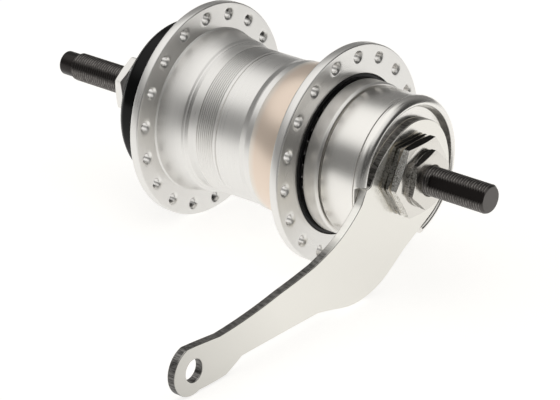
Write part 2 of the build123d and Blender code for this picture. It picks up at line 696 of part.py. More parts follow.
def make_planet_gear(angle):
    """Planet with a gap facing the sun, where the sun has a tooth."""
    section = external_gear(PLANET_TEETH, 180.0 + 180.0 / PLANET_TEETH)
    section -= Circle(PIN_R + RUNNING_PLAY)
    section = Rot(0, 0, angle) * Pos(PLANET_ORBIT_R, 0) * section
    return prism(section, *PLANET_Y)


def make_brake_expander():
    """Ring that the carrier's screw pushes under the shoes."""
    low, cone_low, high = EXPANDER_Y
    bore_r = SCREW_HUB_R + RUNNING_PLAY
    end_r = CONE_R - CONE_SLOPE * (high - cone_low)
    return turned((bore_r, low), (CONE_R, low), (CONE_R, cone_low), (end_r, high), (bore_r, high))


def make_brake_shoe(angle):
    """Curved shoe with a taper inside each end and a groove outside for the ring spring."""
    low, high = SHOE_Y
    end_r = CONE_R + SHOE_PLAY - CONE_SLOPE * (low - EXPANDER_Y[1])
    taper = (end_r - SHOE_INNER_R) / CONE_SLOPE
    face = outline(
        (SHOE_R, low), (SHOE_R, SPRING_GROOVE_Y[0]), (SPRING_GROOVE_R, SPRING_GROOVE_Y[0]),
        (SPRING_GROOVE_R, SPRING_GROOVE_Y[1]), (SHOE_R, SPRING_GROOVE_Y[1]), (SHOE_R, high),
        (end_r, high), (SHOE_INNER_R, high - taper), (SHOE_INNER_R, low + taper), (end_r, low),
    )
    return turn_to(angle + SHOE_ARC / 2) * revolve(face, axis=Axis.Y, revolution_arc=SHOE_ARC)


def make_shoe_spring():
    """Open ring of wire round the shoes."""
    middle = sum(SPRING_GROOVE_Y) / 2
    section = Pos(SPRING_GROOVE_R + 1.1, middle) * Circle(0.4)
    return revolve(section, axis=Axis.Y, revolution_arc=350)


def make_parts():
    parts = {
        "hub_shell": make_hub_shell(),
        "label_band": tube(LAND_R + LABEL_T, LAND_R, *LABEL_Y),
        "dust_seal": make_dust_seal(),
        "right_ball_cup": make_right_ball_cup(),
        "left_ratchet_ring": make_left_ratchet_ring(),
        "axle": make_axle(),
        "brake_cone": make_brake_cone(),
        "brake_cap": make_brake_cap(),
        "brake_arm": make_brake_arm(),
        "arm_nut": make_nut(*ARM_NUT),
        "cone_locknut": make_nut(*CONE_LOCKNUT),
        "left_locknut": make_left_locknut(),
        "right_cone": make_right_cone(),
        "right_locknut": make_nut(*RIGHT_LOCKNUT),
        "driver": make_driver(),
        "right_dust_cap": make_right_dust_cap(),
        "sliding_clutch": make_sliding_clutch(),
        "clutch_spring": make_clutch_spring(),
        "push_rod": make_push_rod(),
        "axle_key": make_axle_key(),
        "ring_gear": make_ring_gear(),
        "ring_pawl_pins": make_pawl_pins(RING_PAWL_ANGLES, RING_PAWL_Y),
        "planet_carrier": make_planet_carrier(),
        "planet_pins": make_planet_pins(),
        "carrier_pawl_pins": make_pawl_pins(CARRIER_PAWL_ANGLES, CARRIER_PAWL_Y),
        "brake_expander": make_brake_expander(),
        "shoe_spring": make_shoe_spring(),
    }
    for name, bearing in BEARINGS.items():
        parts[f"{name}_balls"] = make_balls(bearing)
        parts[f"{name}_retainer"] = make_retainer(bearing)
    for number, angle in enumerate(RING_PAWL_ANGLES, 1):
        parts[f"ring_pawl_{number}"] = make_pawl(angle, RING_PAWL_Y)
    for number, angle in enumerate(CARRIER_PAWL_ANGLES, 1):
        parts[f"carrier_pawl_{number}"] = make_pawl(angle, CARRIER_PAWL_Y)
    for number, angle in enumerate(around(PLANETS), 1):
        parts[f"planet_gear_{number}"] = make_planet_gear(angle)
    for number, angle in enumerate(around(SHOES), 1):
        parts[f"brake_shoe_{number}"] = make_brake_shoe(angle)
    return parts


os.makedirs("parts", exist_ok=True)
for node, shape in make_parts().items():
    export_step(shape, f"parts/{node}.step")
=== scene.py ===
"""Looks of a bicycle hub gear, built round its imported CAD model.

The hub's axis is Y, with the brake side at +Y; X is forwards and Z up. Sizes are in millimetres and
are turned into metres as each mesh is made. A turned profile is a list of (radius, y) points, with a
third value where the corner is rounded.
"""
from math import acos, atan2, ceil, cos, hypot, pi, radians, sin, sqrt, tan

import bmesh
import bpy
from mathutils import Matrix, Vector


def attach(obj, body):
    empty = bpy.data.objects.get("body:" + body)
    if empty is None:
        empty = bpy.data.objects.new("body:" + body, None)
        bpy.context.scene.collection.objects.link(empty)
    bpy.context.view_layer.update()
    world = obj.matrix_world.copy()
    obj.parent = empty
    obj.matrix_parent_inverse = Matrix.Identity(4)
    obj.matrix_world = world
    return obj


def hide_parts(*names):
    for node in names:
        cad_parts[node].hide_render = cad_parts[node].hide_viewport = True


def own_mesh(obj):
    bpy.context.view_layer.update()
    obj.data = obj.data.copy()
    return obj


MM = 0.001
WELD_DISTANCE = 1e-4
LATHE_COLUMNS = 240

# Flanges and their spoke holes. Each flange's faces are meshed hole by hole, in a band between two radii.
HOLES = 18
COLUMNS_PER_HOLE = 14
ROWS_PER_HOLE = 6
SHELL_COLUMNS = HOLES * COLUMNS_PER_HOLE
FLANGE_R = 36.0
FLANGE_IN = 27.5
FLANGE_OUT = 30.7
RIM_ROUND = 0.5
BAND_IN_R = 28.8
BAND_OUT_R = 35.0
SPOKE_RING_R = 32.0
SPOKE_HOLE_R = 1.45
SPOKE_SINK_R = 2.1
SPOKE_SINK_DEPTH = 0.5
SINK_LIP_WIDTH = 0.12
SINK_LIP_DEPTH = 0.06
SINK_FOOT_WIDTH = 0.08
SINK_FOOT_DEPTH = 0.05
DRIVE_FIRST_HOLE = 6.7
BRAKE_FIRST_HOLE = 16.7

# Barrel, from the drive side: cone-shaped collar, grooved drum, land under the label, flare
COLLAR_FOOT_R = 27.6
COLLAR_R = 25.6
COLLAR_END_Y = -18.0
DRUM_R = 24.4
DRUM_END_Y = 5.4
GROOVE_DEPTH = 0.3
FINE_GROOVES = 9
FINE_GROOVE_Y = -12.4
FINE_GROOVE_STEP = 0.8
WIDE_GROOVE_Y = -4.45
LAND_R = 25.0
LAND_Y = (7.9, 23.5)
FLARE_R = (26.6, 28.0)
LABEL_Y = (10.0, 20.5)
LABEL_T = 0.15

# Inside of the shell, and the seal in its brake end
BORE_R = 22.0
CUP_SEAT_R = 23.0
CUP_SEAT_Y = -24.2
RACE_R = 22.54
RACE_Y = (24.5, 26.2)
OPENING_R = 26.3
SEAL_SEAT_Y = 28.8
SEAL_IN_R = 22.8
SEAL_LIP_R = (25.2, 24.2)

# Axle. Each end: levels where its bare thread and its flats start, level of its tip, width across flats
AXLE_END = 85.9
AXLE_NOSE_START = -86.8
AXLE_NOSE = -92.3
AXLE_NOSE_R = 4.1
AXLE_HOLE_R = 2.15
AXLE_HOLE_DEPTH = 6.0
BRAKE_END = (62.6, 65.0, AXLE_END, 8.25)
DRIVE_END = (-61.5, -64.0, AXLE_NOSE_START, 8.8)
SHANK_Y = (-47.4, 16.5)
THREAD_R = 4.76
COVERED_THREAD_R = 4.45
THREAD_PITCH = 25.4 / 26
THREAD_DEPTH = 0.42
THREAD_FLAT = 0.1
TIP_LENGTH = 0.7
TIP_SLOPE = 0.9
FLATS_ANGLE = 25.0
AXLE_COLUMNS = 120
ROWS_PER_PITCH = 12

# Nuts: levels, width across flats and angle of a corner
NUT_BORE_R = 4.5
NUT_CHAMFER = 14.0
NUT_COLUMNS = 144
ARM_NUT = (55.0, 56.85, 23.2, -2.0)
CONE_LOCKNUT = (57.1, 60.2, 23.4, -2.0)
LEFT_LOCKNUT = (61.0, 63.3, 17.0, 43.0)
RIGHT_LOCKNUT = (-62.0, -59.0, 17.5, 24.0)
WASHER_FACE_R = 9.2

# Brake arm, in a frame with u along it and w across it
ARM_TILT = -15.33
ARM_Y = (52.2, 55.0)
ARM_HOLE_U = 106.3
ARM_HOLE_R = 3.6
ARM_EDGE = 0.35
BOSS_R = 10.0

# Brake cone, whose base ring shows below the cap
CONE_BORE_R = 4.6
CONE_LOW = 16.5
CONE_END_R = 15.1
CONE_WIDEST = (19.0, 23.0)
NECK_ROOT = (16.6, 26.2)
NECK_R = 17.6
BASE_R = 25.1
BASE_LOW = 31.9
BASE_HIGH = 37.7
POCKET_R = 23.5
POCKET_Y = 34.4

# Brake cap. The arm crosses its rim between two angles, given from the arm's own direction.
CAP_R = 24.3
CAP_BEAD_R = 24.7
CAP_SKIRT_R = 23.3
CAP_INSIDE_R = 22.4
CAP_SKIRT_Y = 34.8
CAP_FOOT_Y = 38.4
CAP_BEAD_Y = 51.7
CAP_FLOOR_Y = 52.2
CAP_FLOOR_T = 1.6
CAP_CREST_Y = 55.1
CAP_GAP = (-92.0, 22.5)
CAP_GAP_STEP = 0.15
CAP_GAP_COLUMNS = 60
CAP_COLUMNS = 180

# Dust cap on the drive side
DUST_CAP_IN_R = 17.25
DUST_CAP_FACE_R = 24.0
DUST_CAP_R = 27.0
DUST_CAP_T = 1.0
DUST_CAP_Y = (-44.8, -34.8)

# Clutch spring, between two levels along the axle
SPRING_Y = (-32.7, -19.6)
SPRING_COIL_R = 6.0
SPRING_WIRE_R = 0.45
SPRING_TURNS = 5
SPRING_STEPS = 40
SPRING_COLUMNS = 10

# Floor that the flanges rest on. Its glow fades between two distances towards the camera.
FLOOR_Z = -FLANGE_R
FLOOR_HALF = 4000.0
FLOOR_GLOW = (0.82, 0.1)
FLOOR_FADE = (80.0, 170.0)
TOWARDS_CAMERA = (0.77, 0.64)

# Light of the room, and zones in it: direction, half-angles where each starts and is full, and its light
LIGHT_COLOUR = (1.0, 0.99, 0.97, 1.0)
ROOM_LEVEL = 0.22
SOFT_ZONES = [
    ((0.1, 0.9, 0.4), 85.0, 50.0, 0.05),
    ((0.1, 0.45, 0.89), 40.0, 22.0, 0.9),
    ((0.2, -0.25, 0.947), 48.0, 30.0, 1.1),
]

# Camera, in metres and degrees
CAMERA_PLACE = (0.6754, 0.5655, 0.3718)
CAMERA_BEARING = 129.84
CAMERA_HEIGHT = 24.24
CAMERA_LENS = 190.5
CAMERA_SENSOR = 36.0


# ---------------------------------------------------------------- profiles and meshes

def polar(radius, angle):
    return radius * cos(radians(angle)), radius * sin(radians(angle))


def spot(radius, y, angle):
    """Point at a radius and an angle round the axis."""
    x, z = polar(radius, angle)
    return x, y, z


def arc(start, through, end, steps=10):
    """Points after start, along the circle through three points."""
    (ax, ay), (bx, by), (cx, cy) = start, through, end
    d = 2 * (ax * (by - cy) + bx * (cy - ay) + cx * (ay - by))
    a2, b2, c2 = ax * ax + ay * ay, bx * bx + by * by, cx * cx + cy * cy
    ox = (a2 * (by - cy) + b2 * (cy - ay) + c2 * (ay - by)) / d
    oy = (a2 * (cx - bx) + b2 * (ax - cx) + c2 * (bx - ax)) / d
    first, middle, last = [atan2(y - oy, x - ox) for x, y in (start, through, end)]
    turn = (last - first) % (2 * pi)
    if (middle - first) % (2 * pi) > turn:
        turn -= 2 * pi
    radius = hypot(ax - ox, ay - oy)
    angles = [first + turn * i / steps for i in range(1, steps + 1)]
    return [(ox + radius * cos(a), oy + radius * sin(a)) for a in angles]


def rounded(points, steps=5):
    """Path in which each (x, y, radius) corner becomes an arc."""
    path = []
    for i, point in enumerate(points):
        if len(point) == 2:
            path.append(Vector(point))
            continue
        corner, radius = Vector(point[:2]), point[2]
        back = (Vector(points[i - 1][:2]) - corner).normalized()
        ahead = (Vector(points[i + 1][:2]) - corner).normalized()
        half = acos(max(-1.0, min(1.0, back.dot(ahead)))) / 2
        centre = corner + (back + ahead).normalized() * radius / sin(half)
        first = corner + back * radius / tan(half) - centre
        last = corner + ahead * radius / tan(half) - centre
        for k in range(steps + 1):
            path.append(centre + first.lerp(last, k / steps).normalized() * radius)
    return [tuple(p) for p in path]


def new_object(name, mesh):
    obj = bpy.data.objects.new(name, mesh)
    bpy.context.scene.collection.objects.link(obj)
    return obj


def finish_mesh(name, bm, sharp=35.0):
    """Object from a bmesh in millimetres, smooth apart from its sharp edges."""
    bmesh.ops.remove_doubles(bm, verts=bm.verts, dist=WELD_DISTANCE)
    bmesh.ops.recalc_face_normals(bm, faces=bm.faces)
    bmesh.ops.scale(bm, vec=(MM, MM, MM), verts=bm.verts)
    mesh = bpy.data.meshes.new(name)
    bm.to_mesh(mesh)
    bm.free()
    mesh.shade_smooth()
    mesh.set_sharp_from_angle(angle=radians(sharp))
    return new_object(name, mesh)


def add_grid(bm, rows, closed_rows=False):
    """Quads between closed rows of points that all have the same length."""
    grid = [[bm.verts.new(p) for p in row] for row in rows]
    count = len(grid[0])
    for i in range(len(grid) if closed_rows else len(grid) - 1):
        low, high = grid[i], grid[(i + 1) % len(grid)]
        for j in range(count):
            k = (j + 1) % count
            bm.faces.new((low[j], low[k], high[k], high[j]))
    return grid


def ring(radius, y, columns, first=0.0):
    """Points of a circle round the axis."""
    return [spot(radius, y, first + 360.0 * j / columns) for j in range(columns)]


def add_lathe(bm, profile, columns, first=0.0, closed=False):
    rows = [ring(r, y, columns, first) for r, y in profile]
    add_grid(bm, rows, closed_rows=closed)


def lathe(name, profile):
    """Object turned from a closed profile."""
    bm = bmesh.new()
    add_lathe(bm, profile, LATHE_COLUMNS, closed=True)
    return finish_mesh(name, bm)


# ---------------------------------------------------------------- hub shell

def sector_edge(y, angle):
    """Outline of the piece of flange band that belongs to one spoke hole."""
    half = 180.0 / HOLES
    across, along = COLUMNS_PER_HOLE, ROWS_PER_HOLE
    depth = BAND_OUT_R - BAND_IN_R
    outline = [(BAND_OUT_R, angle - half + 2 * half * i / across) for i in range(across)]
    outline += [(BAND_OUT_R - depth * i / along, angle + half) for i in range(along)]
    outline += [(BAND_IN_R, angle + half - 2 * half * i / across) for i in range(across)]
    outline += [(BAND_IN_R + depth * i / along, angle - half) for i in range(along)]
    return [spot(r, y, a) for r, a in outline]


def hole_sector(radius, y, angle):
    """Circle round one spoke hole, as points that pair up with sector_edge."""
    cx, cz = polar(SPOKE_RING_R, angle)
    points = []
    for x, _, z in sector_edge(y, angle):
        bearing = atan2(z - cz, x - cx)
        points.append((cx + radius * cos(bearing), y, cz + radius * sin(bearing)))
    return points


def mix_rows(a, b, share):
    return [tuple(Vector(p).lerp(Vector(q), share)) for p, q in zip(a, b)]


def add_drilled_band(bm, y_low, y_high, first_hole):
    """Both faces of a flange's band, with its countersunk holes through it."""
    sink_low, sink_high = y_low + SPOKE_SINK_DEPTH, y_high - SPOKE_SINK_DEPTH
    lip_r = SPOKE_SINK_R + SINK_LIP_WIDTH
    foot_r = SPOKE_HOLE_R + SINK_FOOT_WIDTH
    hole = [
        (lip_r, y_low), (SPOKE_SINK_R, y_low + SINK_LIP_DEPTH),
        (foot_r, sink_low - SINK_FOOT_DEPTH), (SPOKE_HOLE_R, sink_low + SINK_FOOT_DEPTH),
        (SPOKE_HOLE_R, sink_high - SINK_FOOT_DEPTH), (foot_r, sink_high + SINK_FOOT_DEPTH),
        (SPOKE_SINK_R, y_high - SINK_LIP_DEPTH), (lip_r, y_high),
    ]
    for i in range(HOLES):
        angle = first_hole + 360.0 * i / HOLES
        wall = [hole_sector(radius, y, angle) for radius, y in hole]
        low_edge, high_edge = sector_edge(y_low, angle), sector_edge(y_high, angle)
        low_face = [low_edge] + [mix_rows(low_edge, wall[0], share) for share in (0.35, 0.7)]
        high_face = [mix_rows(wall[-1], high_edge, share) for share in (0.3, 0.65)] + [high_edge]
        add_grid(bm, low_face + wall + high_face)


def flange_rim(side):
    """Rounded rim of a flange, from its inboard face to its outboard face."""
    return rounded([
        (BAND_OUT_R, side * FLANGE_IN), (FLANGE_R, side * FLANGE_IN, RIM_ROUND),
        (FLANGE_R, side * FLANGE_OUT, RIM_ROUND), (BAND_OUT_R, side * FLANGE_OUT),
    ])


def groove(y, half_width, half_floor):
    """Groove round the drum."""
    floor_r = DRUM_R - GROOVE_DEPTH
    return [
        (DRUM_R, y - half_width), (floor_r, y - half_floor), (floor_r, y + half_floor),
        (DRUM_R, y + half_width),
    ]


def barrel_profile():
    """Outside of the shell between the two flanges."""
    points = [
        (BAND_IN_R, -FLANGE_IN), (COLLAR_FOOT_R, -FLANGE_IN), (COLLAR_FOOT_R - 0.1, -FLANGE_IN + 0.15),
        (COLLAR_FOOT_R - 0.45, -FLANGE_IN + 0.4, 0.3), (COLLAR_R, COLLAR_END_Y, 0.15),
        (COLLAR_R - 0.5, COLLAR_END_Y + 0.6, 0.1), (COLLAR_R - 0.55, COLLAR_END_Y + 0.9, 0.1),
        (DRUM_R, COLLAR_END_Y + 1.9, 0.2),
    ]
    for i in range(FINE_GROOVES):
        points += groove(FINE_GROOVE_Y + FINE_GROOVE_STEP * i, 0.28, 0.03)
    points += groove(WIDE_GROOVE_Y, 0.3, 0.15)
    land_low, land_high = LAND_Y
    points += [
        (DRUM_R, DRUM_END_Y, 1.5), (LAND_R - 0.1, land_low - 0.6, 0.3), (LAND_R, land_low, 0.4),
        (LAND_R, land_high, 3.5), (FLARE_R[0], FLANGE_IN - 0.5, 0.8), (FLARE_R[1], FLANGE_IN, 0.25),
        (BAND_IN_R, FLANGE_IN),
    ]
    return rounded(points)


def inside_profile():
    """Inside of the shell, from the drive face's band through the bore to the brake face's band."""
    return rounded([
        (BAND_IN_R, -FLANGE_OUT), (CUP_SEAT_R, -FLANGE_OUT, 0.2), (CUP_SEAT_R, CUP_SEAT_Y),
        (BORE_R, CUP_SEAT_Y), (BORE_R, RACE_Y[0]), (RACE_R, RACE_Y[1]), (RACE_R, SEAL_SEAT_Y),
        (OPENING_R, SEAL_SEAT_Y), (OPENING_R, FLANGE_OUT, 0.3), (BAND_IN_R, FLANGE_OUT),
    ])


def make_hub_shell():
    bm = bmesh.new()
    first = DRIVE_FIRST_HOLE - 180.0 / HOLES
    for profile in (flange_rim(-1), flange_rim(1), barrel_profile(), inside_profile()):
        add_lathe(bm, profile, SHELL_COLUMNS, first)
    add_drilled_band(bm, -FLANGE_OUT, -FLANGE_IN, DRIVE_FIRST_HOLE)
    add_drilled_band(bm, FLANGE_IN, FLANGE_OUT, BRAKE_FIRST_HOLE)
    return finish_mesh("shell_turned", bm, sharp=28.0)


def make_label():
    outer = LAND_R + LABEL_T
    low, high = LABEL_Y
    profile = [(LAND_R, low), (outer, low, 0.06), (outer, high, 0.06), (LAND_R, high)]
    return lathe("label_film", rounded(profile, steps=2))


def make_seal():
    outer = OPENING_R - 0.05
    low, lip = SEAL_SEAT_Y, SEAL_SEAT_Y + 0.9
    return lathe("lip_seal", rounded([
        (SEAL_IN_R, low), (outer, low), (outer, low + 1.5, 0.3),
        (SEAL_LIP_R[0], low + 1.6, 0.3), (SEAL_LIP_R[1], lip, 0.3), (SEAL_IN_R, lip),
    ]))


# ---------------------------------------------------------------- brake side

def make_base_ring():
    """Cone seen outside the shell: the bright ring below the cap, and the boss inside it."""
    cone_high = ARM_Y[1]
    return lathe("base_ring", rounded([
        (CONE_BORE_R, CONE_LOW), (CONE_END_R, CONE_LOW, 0.3), (*CONE_WIDEST, 0.3), (*NECK_ROOT, 1.0),
        (NECK_R, SEAL_SEAT_Y, 0.5), (NECK_R, BASE_LOW), (BASE_R, BASE_LOW, 0.45),
        (BASE_R, BASE_HIGH - 0.8, 0.25), (BASE_R - 0.5, BASE_HIGH, 0.15), (POCKET_R, BASE_HIGH + 0.1),
        (POCKET_R, POCKET_Y), (BOSS_R, POCKET_Y), (BOSS_R, cone_high), (CONE_BORE_R, cone_high),
    ]))


def make_cap():
    """Deep drawn cup with a rolled rim, cut down to its floor where the arm crosses it."""
    hole_r = BOSS_R + 0.1
    ceiling_y = CAP_FLOOR_Y - CAP_FLOOR_T
    profile = rounded([
        (hole_r, ceiling_y), (CAP_INSIDE_R, ceiling_y), (CAP_INSIDE_R, CAP_SKIRT_Y),
        (CAP_SKIRT_R, CAP_SKIRT_Y), (CAP_SKIRT_R, CAP_FOOT_Y - 0.05), (CAP_R, CAP_FOOT_Y, 0.35),
        (CAP_R, CAP_BEAD_Y - 0.7, 0.5), (CAP_BEAD_R, CAP_BEAD_Y, 0.3), (CAP_BEAD_R, CAP_BEAD_Y + 0.4),
    ])
    profile += arc(profile[-1], (24.1, 54.2), (22.7, CAP_CREST_Y), 16)
    profile += arc(profile[-1], (22.1, 54.8), (21.75, 54.2), 6)
    profile += [(21.05, CAP_FLOOR_Y + 0.1), (20.95, CAP_FLOOR_Y), (hole_r, CAP_FLOOR_Y)]
    start, end = (ARM_TILT + angle for angle in CAP_GAP)
    rest = 360.0 - end + start - 2 * CAP_GAP_STEP
    angles = [start + (end - start) * i / CAP_GAP_COLUMNS for i in range(CAP_GAP_COLUMNS + 1)]
    angles += [end + CAP_GAP_STEP + rest * i / CAP_COLUMNS for i in range(CAP_COLUMNS + 1)]
    rows = []
    for r, y in profile:
        cut_y = min(y, CAP_FLOOR_Y)
        rows.append([spot(r, cut_y if angle <= end else y, angle) for angle in angles])
    bm = bmesh.new()
    add_grid(bm, rows, closed_rows=True)
    return finish_mesh("cap_cup", bm)


def bake(obj):
    """Apply an object's modifiers to its mesh."""
    graph = bpy.context.evaluated_depsgraph_get()
    mesh = bpy.data.meshes.new_from_object(obj.evaluated_get(graph))
    mesh.name = obj.name
    obj.modifiers.clear()
    obj.data = mesh


def weight_normals(obj):
    """Keep broad faces flat beside small rounded edges."""
    modifier = obj.modifiers.new("weights", "WEIGHTED_NORMAL")
    modifier.keep_sharp = True
    modifier.weight = 100
    bake(obj)


def arm_outline():
    """Outline of the arm in its own frame."""
    def curve(through, end, steps=10):
        points.extend(arc(points[-1], through, end, steps))

    points = [(18.7, 7.6)]
    curve((8.5, 14.4), (-4.0, 16.5))
    curve((-16.2, 9.0), (-19.5, -2.0), 14)
    curve((-15.6, -13.7), (-5.5, -20.1), 12)
    points.extend([(9.3, -23.6), (17.5, -26.4)])
    curve((30.5, -27.6), (42.0, -23.6), 16)
    curve((47.0, -20.8), (52.2, -18.2), 4)
    points.extend([(65.0, -14.8), (86.5, -9.2)])
    curve((90.5, -10.0), (94.5, -10.6), 4)
    curve((100.5, -9.2), (106.0, -7.6), 4)
    curve((115.0, 0.6), (106.8, 8.5), 18)
    curve((100.3, 6.2), (93.4, 3.6), 4)
    curve((80.0, 1.2), (66.0, -0.3), 8)
    curve((58.0, -1.2), (49.4, -1.9), 4)
    curve((44.0, -1.7), (38.1, -1.0), 4)
    curve((30.7, 1.1), (24.1, 4.3), 8)
    points.append((20.9, 7.8))
    return points


def circle_outline(radius, centre_x=0.0, steps=72):
    spots = [polar(radius, 360.0 * i / steps) for i in range(steps)]
    return [(centre_x + x, y) for x, y in spots]


def plate(name, loops, y_low, y_high, edge, tilt):
    """Flat plate with holes and softly rounded edges, drawn across the axis."""
    curve = bpy.data.curves.new(name, "CURVE")
    curve.dimensions = "2D"
    curve.fill_mode = "BOTH"
    curve.extrude = ((y_high - y_low) / 2 - edge) * MM
    curve.bevel_depth = edge * MM
    curve.bevel_resolution = 3
    curve.offset = -edge * MM
    for loop in loops:
        spline = curve.splines.new("POLY")
        spline.points.add(len(loop) - 1)
        spline.use_cyclic_u = True
        for point, (x, y) in zip(spline.points, loop):
            point.co = (x * MM, y * MM, 0, 1)
    draft = new_object(name, curve)
    graph = bpy.context.evaluated_depsgraph_get()
    mesh = bpy.data.meshes.new_from_object(draft.evaluated_get(graph))
    bpy.data.objects.remove(draft)
    stand = Matrix.Translation((0, (y_low + y_high) / 2 * MM, 0)) @ Matrix.Rotation(radians(90), 4, "X")
    mesh.transform(stand @ Matrix.Rotation(radians(tilt), 4, "Z"))
    mesh.shade_smooth()
    mesh.set_sharp_from_angle(angle=radians(50))
    obj = new_object(name, mesh)
    weight_normals(obj)
    return obj


def make_arm():
    loops = [arm_outline(), circle_outline(BOSS_R + 0.05), circle_outline(ARM_HOLE_R, ARM_HOLE_U)]
    return plate("stamped_arm", loops, *ARM_Y, ARM_EDGE, ARM_TILT)


def make_nut(name, y_low, y_high, across, corner_angle, washer=None):
    """Hexagon nut whose chamfers cut curved edges into its sides.

    A washer, if given, is the radius and lower level of a round face under the nut.
    """
    face_r = across / 2 - 0.15
    corner_r = across / sqrt(3) - 0.12
    ease = 0.08
    sections = []
    for j in range(NUT_COLUMNS):
        angle = corner_angle + 360.0 * j / NUT_COLUMNS
        off = radians((angle - corner_angle) % 60.0 - 30.0)
        side_r = min(across / 2 / cos(off), corner_r)
        drop = (side_r - face_r) * tan(radians(NUT_CHAMFER))
        section = [
            (NUT_BORE_R, y_low), (face_r - 0.1, y_low), (face_r, y_low + 0.03),
            (side_r - ease, y_low + drop), (side_r, y_low + drop + ease),
            (side_r, y_high - drop - ease), (side_r - ease, y_high - drop),
            (face_r, y_high - 0.03), (face_r - 0.1, y_high),
            (NUT_BORE_R + 0.75, y_high), (NUT_BORE_R + 0.55, y_high - 0.1), (NUT_BORE_R, y_high - 0.6),
        ]
        sections.append([spot(radius, y, angle) for radius, y in section])
    bm = bmesh.new()
    add_grid(bm, list(zip(*sections)), closed_rows=True)
    if washer:
        face, low = washer
        high = y_low + 0.4
        profile = rounded([(NUT_BORE_R, low), (face, low, 0.1), (face, high, 0.1), (NUT_BORE_R, high)])
        add_lathe(bm, profile, NUT_COLUMNS, corner_angle, closed=True)
    return finish_mesh(name, bm, sharp=20.0)


# ---------------------------------------------------------------- axle

def thread_radius(angle, y):
    """Radius of a right-hand thread with flattened crests and roots."""
    phase = (y / THREAD_PITCH + angle / 360.0) % 1.0
    slant = (abs(2 * phase - 1) - THREAD_FLAT) / (1 - 2 * THREAD_FLAT)
    return THREAD_R - THREAD_DEPTH * max(0.0, min(1.0, slant))


def flat_limit(angle, across):
    """Distance from the axis to the nearer flat, in a direction."""
    return across / 2 / max(1e-3, abs(cos(radians(angle - FLATS_ANGLE))))


def axle_row(y, radius_at):
    """Ring of points whose radius depends on the angle."""
    angles = [360.0 * j / AXLE_COLUMNS for j in range(AXLE_COLUMNS)]
    return [spot(radius_at(angle), y, angle) for angle in angles]


def add_threaded_end(bm, y_nut, y_flats, y_end, across):
    """Bare thread from under a nut to the chamfered tip, with two flats from a level on."""
    steps = ceil(abs(y_end - y_nut) / (THREAD_PITCH / ROWS_PER_PITCH))
    outward = 1 if y_end > y_nut else -1
    rows = []
    for i in range(steps + 1):
        y = y_nut + (y_end - y_nut) * i / steps
        tip_r = THREAD_R - max(0.0, TIP_LENGTH - abs(y_end - y)) * TIP_SLOPE
        width = across if (y - y_flats) * outward > 0 else 2 * THREAD_R
        rows.append(axle_row(y, lambda a: min(thread_radius(a, y), tip_r, flat_limit(a, width))))
    rows.append(axle_row(y_end, lambda a: min(THREAD_R - 0.75, flat_limit(a, across) - 0.05)))
    add_grid(bm, rows)
    return rows[-1]


def make_axle():
    bm = bmesh.new()
    tip = add_threaded_end(bm, *BRAKE_END)
    centre = [(0.0, AXLE_END, 0.0)] * AXLE_COLUMNS
    add_grid(bm, [mix_rows(tip, centre, share) for share in (0.0, 0.5, 0.99)])
    shoulder = add_threaded_end(bm, *DRIVE_END)
    nose = rounded([
        (AXLE_NOSE_R, AXLE_NOSE_START), (AXLE_NOSE_R, AXLE_NOSE, 0.45), (AXLE_HOLE_R, AXLE_NOSE, 0.12),
        (AXLE_HOLE_R, AXLE_NOSE + AXLE_HOLE_DEPTH),
    ])
    add_grid(bm, [shoulder] + [ring(r, y, AXLE_COLUMNS) for r, y in nose])
    shank_low, shank_high = SHANK_Y
    add_lathe(bm, [
        (COVERED_THREAD_R, DRIVE_END[0] + 0.1), (COVERED_THREAD_R, shank_low), (THREAD_R, shank_low),
        (THREAD_R, shank_high), (COVERED_THREAD_R, shank_high), (COVERED_THREAD_R, BRAKE_END[0] - 0.1),
    ], AXLE_COLUMNS)
    return finish_mesh("threaded_axle", bm, sharp=50.0)


# ---------------------------------------------------------------- drive side and inside

def make_dust_cap():
    low, high = DUST_CAP_Y
    inner_r = DUST_CAP_R - DUST_CAP_T
    profile = rounded([
        (DUST_CAP_IN_R, low + DUST_CAP_T), (DUST_CAP_IN_R, low, 0.2), (DUST_CAP_FACE_R, low, 1.2),
        (DUST_CAP_R, low + 1.8, 2.2), (DUST_CAP_R, high, 0.4), (inner_r, high, 0.3),
        (inner_r, low + DUST_CAP_T),
    ], steps=8)
    return lathe("black_cap", profile)


def make_spring():
    """Clutch spring: a coil of round wire round the axle."""
    low, high = SPRING_Y[0] + SPRING_WIRE_R, SPRING_Y[1] - SPRING_WIRE_R
    steps = SPRING_TURNS * SPRING_STEPS
    section = [polar(SPRING_WIRE_R, 360.0 * k / SPRING_COLUMNS) for k in range(SPRING_COLUMNS)]
    rows = []
    for i in range(steps + 1):
        x, z = polar(1.0, 360.0 * SPRING_TURNS * i / steps)
        centre = low + (high - low) * i / steps
        rows.append([(x * (SPRING_COIL_R + r), centre + y, z * (SPRING_COIL_R + r)) for r, y in section])
    bm = bmesh.new()
    grid = add_grid(bm, rows)
    for end in (grid[0], grid[-1]):
        bm.faces.new(end)
    return finish_mesh("coil_spring", bm)


# ---------------------------------------------------------------- materials

def feed(tree, socket, value):
    """Give a socket a value, or the output of another node."""
    if isinstance(value, bpy.types.NodeSocket):
        tree.links.new(value, socket)
    else:
        socket.default_value = value


def add_node(tree, kind, inputs, settings):
    node = tree.nodes.new(kind)
    for key, value in settings.items():
        setattr(node, key, value)
    for key, value in inputs.items():
        feed(tree, node.inputs[key], value)
    return node


